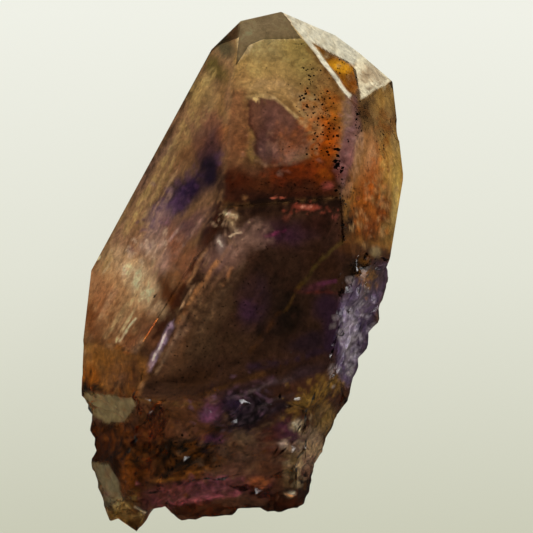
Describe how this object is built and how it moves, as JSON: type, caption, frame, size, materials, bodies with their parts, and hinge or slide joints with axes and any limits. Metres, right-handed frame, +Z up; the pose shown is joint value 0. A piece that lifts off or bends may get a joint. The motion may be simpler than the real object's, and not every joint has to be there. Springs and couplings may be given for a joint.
{
  "type": "amethyst crystal point",
  "caption": "Single smoky amethyst crystal with a sloping faceted tip, stepped prism faces and a rough snapped base, lying on its flat back.",
  "frame": {"origin": "under the middle of the crystal's bounding box, on the surface that it rests on", "axes": "+Z up out of the broad front faces, +Y along the crystal towards its tip, +X to the right seen from above"},
  "size_m": [0.0368, 0.0596, 0.0276],
  "materials": {
    "amethyst": "clear quartz with glossy grown faces, smoky brown and purple inside, orange iron stains, dark specks and a frosted break at the base"
  },
  "bodies": {
    "root": {"amethyst_crystal": "amethyst"}
  },
  "joints": []
}
